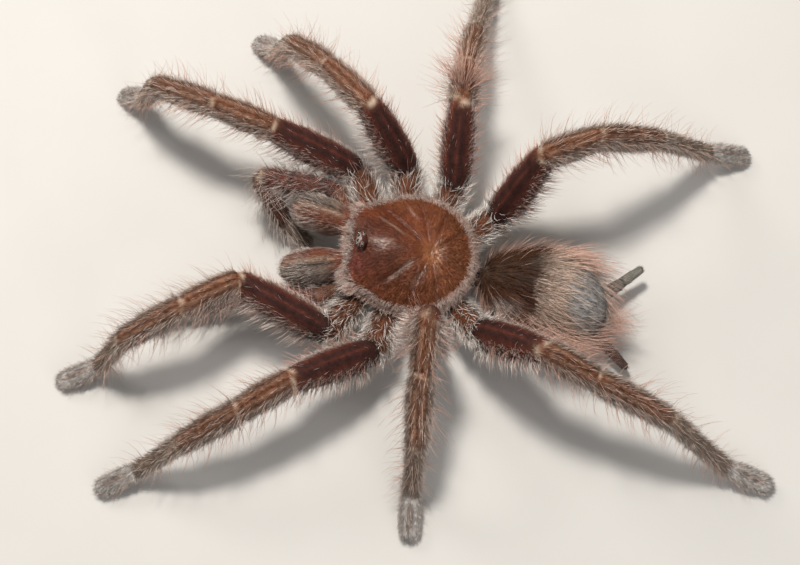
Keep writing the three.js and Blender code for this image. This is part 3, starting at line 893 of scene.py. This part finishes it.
# Thin pale lines on the shell: from, to, half width and strength, in the shell's own mm. Those on the right
# side are pale hair lines; the band back along the middle from the eyes and the streaks along the left
# grooves are painted highlights.
PALE_LINES_AND_HIGHLIGHTS = (
    ((-7.9, -9.4), (-3.4, -2.2), 0.3, 0.5), ((-11.6, -2.2), (-8.6, 0.4), 0.25, 0.45),
    ((-12.8, -2.6), (-8.0, 1.2), 0.3, 0.25), ((9.6, -5.4), (2.8, 1.0), 0.45, 0.6),
    ((8.4, -3.6), (4.2, 0.8), 0.35, 0.35), ((-0.4, -12.0), (-0.6, -4.4), 0.8, 0.42),
    ((1.6, -8.0), (0.2, -2.0), 0.5, 0.2), ((10.5, 1.0), (5.4, 3.4), 0.8, 0.25),
)


def near_line(x, y, start, end, half_width):
    """Strength of a line that fades at both its ends."""
    (x0, y0), (x1, y1) = start, end
    length = math.hypot(x1 - x0, y1 - y0)
    along = ((x - x0) * (x1 - x0) + (y - y0) * (y1 - y0)) / length ** 2
    off = np.abs((x - x0) * (y1 - y0) - (y - y0) * (x1 - x0)) / length
    return bell(off, half_width) * step(along, -0.1, 0.15) * step(-along, -1.1, -0.85)


def shell_colour(spread, points, flat):
    """Red-brown, darker on the head, with painted shade in the grooves and the pit, a painted mauve sheen on
    the left front corner, golden rays, silver lines of which some are painted highlights, and a pale rim.
    """
    x, y = flat[..., 0], flat[..., 1]
    from_pit, bearing = from_the_pit(x, y)
    colour = flat_colour(SHELL, points)
    head = np.exp(-(x / 9.5) ** 2 - ((y + 10) / 9) ** 2)
    colour = mix(colour, SHELL_RED, 0.85 * step(head, 0.15, 0.7))
    # Painted sheen: a mauve reflection on the left front corner.
    corner = np.exp(-((x - 6) / 3.6) ** 2 - ((y + 14) / 2.6) ** 2)
    colour = mix(colour, MAUVE_SHEEN, 0.7 * corner)
    colour = mix(colour, SHELL_GOLD, 0.25 * step(y, 2, 14) + 0.15 * step(np.abs(x), 8, 16))
    streaks = 0.5 + 0.5 * np.sin(bearing * 1.7 + 3 * np.sin(from_pit * 0.9))
    colour = mix(colour, SHELL_GOLD, 0.16 * streaks * step(from_pit, 3, 7))
    for ray in RAYS:
        strength = 0.2 * step(from_pit, 2, 5) * step(-from_pit, -15, -7)
        wander = 3 * np.sin(from_pit * 0.6 + ray)
        colour = mix(colour, SHELL_GOLD, strength * bell(bearing - ray + wander, 1.6 + 6 / (1 + from_pit)))
    # Painted shade: the head's dark red laid along the recessed grooves.
    for groove in GROOVES:
        width = 2.5 + 8 / (1 + from_pit)
        colour = mix(colour, SHELL_RED, 0.45 * bell(bearing - groove, width) * step(from_pit, 2, 5))
    rays = 0.5 + 0.5 * np.sin(np.radians(bearing) * 16)
    gold = np.exp(-((x - 0.6) / 3.4) ** 2 - ((y - SHIELD["pit_back"] - 0.4) / 2.8) ** 2)
    colour = mix(colour, SHELL_GOLD, gold * (0.55 + 0.4 * rays))
    # Painted shade in the recessed pit.
    pit = np.exp(-(x / 2.0) ** 2 - ((y - SHIELD["pit_back"]) / 0.55) ** 2)
    colour = mix(colour, DARK, 0.35 * pit)
    # Pale hair lines, and painted highlights behind the eyes and along the left grooves.
    for start, end, half_width, strength in PALE_LINES_AND_HIGHLIGHTS:
        colour = mix(colour, SILVER_AND_HIGHLIGHT, strength * near_line(x, y, start, end, half_width))
    edge = 0.93 - 0.05 * step(y, -6, 10)
    colour = mix(colour, SHELL_RIM, 0.6 * step(spread, edge, edge + 0.07))
    return mottled(colour, points, 4, 29)


def shell_uv(spread, angle):
    """The carapace has a square of its own past the skin's strips."""
    strip = 1 / STRIPS
    v = 1 - strip / 2 - strip * 0.47 * spread * np.cos(angle)
    return np.stack([0.5 + 0.47 * spread * np.sin(angle), v], -1)


def shell_parts():
    """The carapace's top, the lip below its rim, and the underside that closes it."""
    round_way = around(SHELL_SIDES)
    spread, angle = grid(np.sin(np.linspace(0.02, math.pi / 2, SHELL_ROWS)), round_way)
    top, flat = shell_place(spread, angle)
    crown_spread = np.array([0.0])
    crown, crown_flat = shell_place(crown_spread, np.array([0.0]))
    lip = top[-SHELL_SIDES:].copy()
    lip[:, 2] -= LIP
    inner = lip.copy()
    centre = np.array(SHIELD["centre"])
    inner[:, :2] = centre + (lip[:, :2] - centre) * 0.93
    inner[:, 2] -= 0.5 + 0.3 * np.maximum(0, np.cos(round_way)) ** 3
    below = np.array([[*SHIELD["centre"], inner[:, 2].mean()]])
    verts = np.concatenate([top, lip, inner, crown, below])
    faces = grid_faces(SHELL_ROWS + 2, SHELL_SIDES)
    under = np.broadcast_to(SHELL_UNDER, (2 * SHELL_SIDES, 3))
    tones = np.concatenate([
        shell_colour(spread, top, flat), under, shell_colour(crown_spread, crown, crown_flat), under[:1],
    ])
    spread = np.concatenate([spread, np.full(2 * SHELL_SIDES, 1.0), [0, 1.0]])
    angle = np.concatenate([angle, round_way, round_way, [0, 0]])
    return verts, faces, tones, shell_uv(spread[faces], whole_faces(angle[faces]))


shell_hide = coat_material("shell_hide", 0.4, bump=0.5, noise_scale=420, specular=0.45)
add_piece("carapace_shell", [shell_parts()], shell_hide, ["carapace"])

# ---------------- eyes and fangs


MOUND_MIDDLE = np.array(EYE_MOUND["centre"])
MOUND_SIZE = np.array([EYE_MOUND[name] for name in ("half_width", "half_length", "half_height")])
EYE_RING = rgb(168, 156, 148)
LARGE_EYE = 0.4
LENS_PROUD = 0.03
FANG_RINGS = 30
FANG_SIDES = 16


def ball(centre, radii, rows=10, sides=18):
    down_way, round_way = grid(np.linspace(0, math.pi, rows + 1)[1:-1], around(sides))
    points = np.stack([
        np.sin(down_way) * np.cos(round_way), np.sin(down_way) * np.sin(round_way), np.cos(down_way),
    ], -1) * radii
    verts = np.concatenate([points, [[0, 0, radii[2]], [0, 0, -radii[2]]]]) + np.array(centre)
    return verts, grid_faces(rows - 1, sides)[:, ::-1]


def plain_part(shape, tone):
    """A part of one colour, unwrapped from above."""
    verts, faces = shape
    spots = np.stack([verts[:, 0] - verts[:, 0].min(), verts[:, 1] - verts[:, 1].min()], -1)
    return verts, faces, flat_colour(tone, verts), (0.01 + 0.9 * spots / spots.max())[faces]


def eye_places():
    """The middle and the radius of each eye."""
    for x, y, z, radius in EYES:
        for sign in (-1, 1):
            yield MOUND_MIDDLE + np.array([sign * x, y, z]), radius


def mound_part():
    """The mound that carries the eyes, with a pale ring round each."""
    verts, faces, tones, uvs = plain_part(ball(MOUND_MIDDLE, MOUND_SIZE, 64, 96), rgb(74, 34, 24))
    for middle, radius in eye_places():
        ring = 0.2 if radius > LARGE_EYE else 0.1
        off = np.linalg.norm(verts - middle, axis=1)
        tones = mix(tones, EYE_RING, 0.65 * bell(off - radius - ring / 2, ring))
    return verts, faces, tones, uvs


mound_hide = coat_material("mound_hide", 0.35, bump=0.4, noise_scale=900, specular=0.5)
add_piece("eye_mound", [mound_part()], mound_hide)
lens = coat_material("lens", 0.05, spread=0.15, noise_scale=1500, coat=1.0, specular=0.6)
eye_balls = [ball(middle, np.full(3, radius + LENS_PROUD)) for middle, radius in eye_places()]
add_piece("eye_lenses", [plain_part(b, rgb(16, 11, 10)) for b in eye_balls], lens, ["eyes"])


def fang_shape(word):
    """A horn bent along an arc, folded back and set under the tip of its jaw."""
    rows = np.linspace(0, 1, FANG_RINGS)
    radii = np.interp(rows, [0, 0.3, 0.6, 0.85, 1], [1, 0.85, 0.6, 0.3, 0.03]) * FANG["radius"]
    place, angle = grid(rows, around(FANG_SIDES))
    radius = np.interp(place, rows, radii)
    sweep = math.radians(FANG["sweep"])
    turn = sweep * place
    out = FANG["arc_radius"] - radius * np.sin(angle)
    bent = np.stack([
        radius * np.cos(angle), FANG["arc_radius"] - out * np.cos(turn), -out * np.sin(turn),
    ], -1)
    point = [0, FANG["arc_radius"] * (1 - math.cos(sweep)), -FANG["arc_radius"] * math.sin(sweep)]
    verts = np.concatenate([bent, [[0, 0, 0], point]])
    root, tip = (np.array(p) for p in CHELICERAE[word])
    axis = unit(tip - root)
    fold = Matrix.Rotation(math.radians(FANG["fold_back"]), 3, "X")
    spin = Matrix.Rotation(math.atan2(axis[1], axis[0]) + math.pi / 2, 3, "Z")
    verts = verts @ np.array(spin @ fold).T
    root_place = tip - axis * FANG["root_offset"] - np.array([0, 0, FANG["drop"]])
    return verts + root_place, grid_faces(FANG_RINGS, FANG_SIDES)


horn = coat_material("horn", 0.14, spread=0.3, noise_scale=700, coat=0.6, specular=0.5)
for word in CHELICERAE:
    fang = plain_part(fang_shape(word), rgb(30, 16, 12))
    add_piece(f"fang_{word}_horn", [fang], horn, [f"fang_{word}"])

# ---------------- coat

fur = coat_material("fur", 0.62, spread=0.2, noise_scale=900)
down = coat_material("down", 0.72, spread=0.25, noise_scale=600)


def by_segment(tube, s, values):
    """One of the values for each place, by the segment of the limb that it is on."""
    index, _ = tube.segment(s)
    return np.asarray(values, float)[np.minimum(index, len(values) - 1)]


def edgewise(theta, least):
    """How far a place is to the side of a limb or under it, from least on its top to 1."""
    return least + (1 - least) * step(-np.sin(theta), -0.85, -0.35)


def mostly_edges(least):
    """A thinning of hairs that leaves that share of them on top."""
    return lambda s, theta: edgewise(theta, least)


def leg_coat(tube):
    s, theta = scatter(tube, 8.7, start=0.02)
    side = edgewise(theta, 0)
    size = by_segment(tube, s, (1.7, 0.8, 1.1, 1.2, 1.5, 1.4))
    size = size + side * by_segment(tube, s, (0.2, 0.5, 1.1, 1.1, 0.9, 0.5))
    rise = by_segment(tube, s, (32, 15, 22, 26, 34, 40)) + 22 * side
    frost = by_segment(tube, s, (0.3, 0.14, 0.35, 0.45, 0.6, 0.7)) * (0.2 + 1.05 * side)
    return grow(tube, s, theta, size, 0.16, rise, 14, GREY_TIP, frost, 1, shade=1.1, pale=0.18 * side)


def leg_bristles(tube):
    """A middle layer and a sparse long one."""
    def thinned(s, theta):
        share = edgewise(theta, by_segment(tube, s, (0.3, 0.02, 0.1, 0.14, 0.25, 0.3)))
        return share * by_segment(tube, s, (0.7, 0.7, 1, 1, 1, 0.8))

    s, theta = scatter(tube, 3.0, start=0.04, where=thinned)
    size = by_segment(tube, s, (3.6, 2.2, 2.8, 3.1, 3.0, 1.9))
    rise = 30 + 30 * edgewise(theta, 0)
    middle = grow(tube, s, theta, size, 0.14, rise, 14, WHITE, 0.75, 2, swirl=14, shade=1.2, pale=0.25)
    s, theta = scatter(tube, 0.46, start=0.1, end=0.97, where=thinned)
    size = by_segment(tube, s, (6.0, 5.6, 7.4, 8.2, 7.4, 3.6))
    rise = 44 + 26 * edgewise(theta, 0)
    long = grow(tube, s, theta, size, 0.15, rise, 34, PINK, 0.9, 3, swirl=16, shade=1.2, pale=0.35)
    return [middle, long]


for word in ("left", "right"):
    legs = [t for t in tubes_of("leg") if t.word.startswith(word)]
    add_piece(f"coat_legs_{word}_front", [leg_coat(t) for t in legs[:2]], down)
    add_piece(f"coat_legs_{word}_rear", [leg_coat(t) for t in legs[2:]], down)
    add_piece(f"bristles_legs_{word}", sum([leg_bristles(t) for t in legs], []), fur)

THIGH_BRISTLES = 200
FAN_BRISTLES = 170


def thigh_bristles(tube):
    """Stout pale bristles in rows along the lower edges of a thigh."""
    first, last = tube.joints[1] + 2, tube.joints[2] - 0.5
    s = first + (last - first) * rng.random(THIGH_BRISTLES)
    theta = np.where(rng.random(THIGH_BRISTLES) < 0.5, 0, math.pi)
    theta = theta + np.radians(rng.normal(0, 10, THIGH_BRISTLES))
    theta = np.where(np.cos(theta) > 0, theta - 0.4, theta + 0.4)
    _, normals, _ = tube.place(s, theta)
    leftward = normals[:, 0] > 0
    size = np.where(leftward, 6.0, 3.6)
    tip = np.where(leftward[:, None], WHITE, PINK)
    return grow(tube, s, theta, size, 0.2, 62, 50, tip, 0.95, 2, swirl=7, shade=1.1, pale=0.7)


def knee_fan(tube):
    """The fan of long bristles over the knee of the right third leg."""
    s = tube.joints[2] + rng.uniform(1, 8, FAN_BRISTLES)
    theta = rng.normal(math.pi / 2, 1.0, FAN_BRISTLES)
    return grow(tube, s, theta, 9.5, 0.17, 72, 60, PINK, 0.9, 3, swirl=35, shade=1.1, pale=0.5)


parts = []
for tube in tubes_of("leg"):
    parts.append(thigh_bristles(tube))
    wool = dict(start=0.02, end=0.17, where=mostly_edges(0.22), swirl=30, shade=1.1, pale=0.85)
    parts.append(hairs(tube, 2.6, 4.4, 0.17, 44, 16, WOOL, 0.95, 2, **wool))
parts += [knee_fan(t) for t in tubes_of("leg") if t.word == "right_3"]
add_piece("bristles_thighs", parts, fur)

parts = []
for tube in tubes_of("palp"):
    side_hair = dict(where=mostly_edges(0.3), shade=1.1, pale=0.4)
    parts.append(hairs(tube, 8.5, 1.3, 0.15, 24, 8, WHITE, 0.4, 1, start=0.01))
    parts.append(hairs(tube, 4, 2.2, 0.15, 66, 40, RED_TIP, 0.8, 2, end=0.08, swirl=40, shade=1.3))
    parts.append(hairs(tube, 2.0, 3.6, 0.15, 44, 14, WHITE, 0.8, 2, start=0.08, swirl=16, **side_hair))
    parts.append(hairs(tube, 0.5, 8.0, 0.16, 62, 24, WHITE, 0.9, 3, start=0.4, swirl=20, **side_hair))
for tube in tubes_of("jaw"):
    parts.append(hairs(tube, 11, 1.0, 0.14, 18, 4, STRAW, 0.25, 1, start=0.08, swirl=6))
    parts.append(hairs(tube, 3.2, 2.2, 0.13, 20, 4, WHITE, 0.3, 2, start=0.08, swirl=5, shade=1.1))
    parts.append(hairs(tube, 2.0, 2.4, 0.13, 40, 20, WHITE, 0.8, 2, start=0.5, shade=1.1, pale=0.3))
add_piece("coat_face", parts, fur)

parts = [hairs(t, 9, 1.3, 0.16, 22, 6, WHITE, 0.12, 1) for t in tubes_of("abdomen")]
parts += [hairs(t, 6, 1.1, 0.14, 24, 6, WHITE, 0.3, 1) for t in tubes_of("spinneret", "waist", "sternum")]
add_piece("coat_abdomen", parts, down)

belly = tubes_of("abdomen")[0]


def off_the_bald_patch(s, theta):
    points, _, _ = belly.place(s, theta)
    _, _, bald = abdomen_place(points)
    return np.where(points[:, 2] > 10, 0.1 + 0.9 * step(bald, 0.8, 1.5), 0.8)


def off_patch_and_top(least):
    return lambda s, theta: off_the_bald_patch(s, theta) * edgewise(theta, least)


def lying_bristles():
    """Bristles that lie back along the abdomen, reddish in front and cream behind."""
    s, theta = scatter(belly, 1.7, where=off_the_bald_patch)
    points, _, _ = belly.place(s, theta)
    light = step(points[:, 1] - ABDOMEN["centre"][1], -5, 1)
    tip = mix(flat_colour(rgb(104, 62, 42), points), CREAM, light)
    shade = 1.1 + 0.15 * light
    return grow(belly, s, theta, 6.6, 0.15, 13, 3, tip, 0.5 + 0.3 * light, 3, swirl=9, shade=shade)


standing = dict(where=off_patch_and_top(0.04), swirl=14, shade=1.2, pale=0.3)
trailing = dict(start=0.45, where=off_patch_and_top(0.02), shade=1.2, pale=0.5)
add_piece("bristles_abdomen", [
    lying_bristles(),
    hairs(belly, 1.0, 7.6, 0.16, 36, 12, PINK, 0.85, 3, **standing),
    hairs(belly, 1.9, 13.0, 0.16, 30, 10, PINK, 0.9, 3, **trailing),
], fur)

# The carapace's short coat, and the fringe along its rim.
SHELL_ROOT_DEPTH = 0.08
SHELL_HAIRS = 26000
FRINGE_HAIRS = 5200
FRONT_HAIRS = 2500


def shell_hairs(
    spread, angle, length, width, rise, rise_end, tip, tip_amount, bends, swirl, shade=0.95, pale=0.0,
):
    count = len(spread)
    points, normals, ways, flat = shell_frame(spread, angle)
    ways = swirled(normals, ways, swirl)
    root = shell_colour(spread, points, flat) * (shade * jitter(count, 0.2))[:, None]
    root = mix(root, tip, np.broadcast_to(0.7 * pale, count))
    tips = mix(root, tip, tip_amount * jitter(count, VARIETY))
    return hair_mesh(
        points - normals * SHELL_ROOT_DEPTH, normals, ways, length * jitter(count, VARIETY),
        np.broadcast_to(width, count), np.radians(rise * jitter(count, VARIETY)),
        np.radians(rise_end + rng.normal(0, END_WANDER, count)), root, tips, shell_uv(spread, angle), bends,
    )


def short_coat():
    """Golden hairs over the whole shell, fewer of them bright on the head."""
    spread = np.sqrt(rng.random(SHELL_HAIRS)) * 0.985
    angle = rng.random(SHELL_HAIRS) * 2 * math.pi
    _, flat = shell_place(spread, angle)
    head = np.exp(-(flat[:, 0] / 9) ** 2 - ((flat[:, 1] + 9) / 8) ** 2)
    amount = 0.9 * rng.random(SHELL_HAIRS) ** 2 * (1 - 0.8 * head)
    return shell_hairs(spread, angle, 1.1 - 0.4 * head, 0.12, 20, 8, SHELL_GOLD, amount, 1, swirl=16)


def rim_fringe():
    """Pale hairs in clumps all round the rim, longer behind."""
    spread = 1 - 0.13 * rng.random(FRINGE_HAIRS) ** 1.3
    angle = rng.random(FRINGE_HAIRS) * 2 * math.pi
    clumps = 0.5 + 0.5 * np.sin(angle * 47 + 2 * np.sin(angle * 13))
    length = 1.5 + 1.6 * rng.random(FRINGE_HAIRS)
    behind = step(-np.cos(angle), -0.7, 0.4)
    length = length + 2.2 * clumps * rng.random(FRINGE_HAIRS) * behind
    amount = 0.45 + 0.55 * clumps
    return shell_hairs(spread, angle, length, 0.14, 15, -12, WHITE, amount, 2, swirl=24, pale=0.3)


def front_fringe():
    """White streaks over the jaws."""
    spread = 0.93 + 0.07 * rng.random(FRONT_HAIRS)
    angle = np.radians(rng.uniform(-44, 44, FRONT_HAIRS))
    clumps = 0.5 + 0.5 * np.sin(angle * 97 + 3 * np.sin(angle * 23))
    length = 2.0 + 1.4 * rng.random(FRONT_HAIRS) + 1.8 * clumps
    return shell_hairs(
        spread, angle, length, 0.14, 28, -16, WHITE, clumps, 2, swirl=12, shade=1.5, pale=clumps,
    )


add_piece("coat_carapace", [short_coat(), rim_fringe(), front_fringe()], fur)

# ---------------- floor, light and camera


def floor_material():
    material, tree, shader = new_material("studio_floor", {"Roughness": 0.85})
    ramp = tree.nodes.new("ShaderNodeValToRGB")
    ramp.color_ramp.elements[0].color = (0.60, 0.585, 0.56, 1)
    ramp.color_ramp.elements[1].color = (0.64, 0.625, 0.60, 1)
    link(tree, noise(tree, 30.0, 3.0), "Fac", ramp, "Fac")
    link(tree, ramp, "Color", shader, "Base Color")
    return material


FLOOR_SIZE = 3.0
WORLD_LIGHT = (1.0, 0.97, 0.94, 1)
WORLD_STRENGTH = 0.28

bpy.ops.mesh.primitive_plane_add(size=FLOOR_SIZE, location=(0, 0, 0))
floor = bpy.context.object
floor.name = "floor"
floor.data.materials.append(floor_material())

world = bpy.data.worlds.new("studio")
bpy.context.scene.world = world
world.use_nodes = True
set_inputs(world.node_tree.nodes["Background"], {"Color": WORLD_LIGHT, "Strength": WORLD_STRENGTH})

CAMERA_TURN = math.radians(99.8)
CAMERA_RISE = math.radians(72)
CAMERA_TARGET = np.array([6.7, 5.3, 15.0])
CAMERA_DISTANCE = 560.0
SENSOR = 36.0
PICTURE_WIDTH = 800
FOCAL_PIXELS = 2110.0
LENS = FOCAL_PIXELS * SENSOR / PICTURE_WIDTH
back = np.array([
    math.sin(CAMERA_TURN) * math.cos(CAMERA_RISE),
    -math.cos(CAMERA_TURN) * math.cos(CAMERA_RISE),
    math.sin(CAMERA_RISE),
])
right = np.array([math.cos(CAMERA_TURN), math.sin(CAMERA_TURN), 0])
up = np.cross(back, right)


def stand(obj, place, x_axis, y_axis, z_axis):
    """Puts an object at a place, with its axes along these."""
    rows = [[x_axis[i], y_axis[i], z_axis[i], place[i]] for i in range(3)]
    obj.matrix_world = Matrix(rows + [[0, 0, 0, 1]])


camera_data = bpy.data.cameras.new("camera")
camera = placed("camera", camera_data)
camera_data.sensor_width = SENSOR
camera_data.lens = LENS
camera_data.clip_start = 0.01
camera_data.clip_end = 20
stand(camera, (CAMERA_TARGET + back * CAMERA_DISTANCE + SHIFT) * MM, right, up, back)
bpy.context.scene.camera = camera


def soft_light(name, way, distance, size, watts, tint):
    """A round lamp that looks at the model's middle from that way."""
    data = bpy.data.lights.new(name, "AREA")
    data.shape = "DISK"
    data.size = size
    data.energy = watts
    data.color = tint
    z_axis = unit(np.array(way, float))
    x_axis = unit(np.cross([0.3, 0.2, 1], z_axis))
    y_axis = np.cross(z_axis, x_axis)
    target = (CAMERA_TARGET + SHIFT) * MM
    stand(placed(name, data), target + z_axis * distance, x_axis, y_axis, z_axis)


soft_light("key", back + 0.7 * up - 0.15 * right, 0.7, 0.12, 4.9, (1.0, 0.96, 0.9))
soft_light("fill", back - 0.8 * up + 0.6 * right, 0.8, 0.5, 1.2, (0.92, 0.95, 1.0))
soft_light("rim", np.array([0, 0, 0.6]) + 0.9 * up - 0.9 * right, 0.8, 0.3, 1.6, (1.0, 0.95, 0.92))
bpy.context.scene.view_settings.view_transform = "Standard"
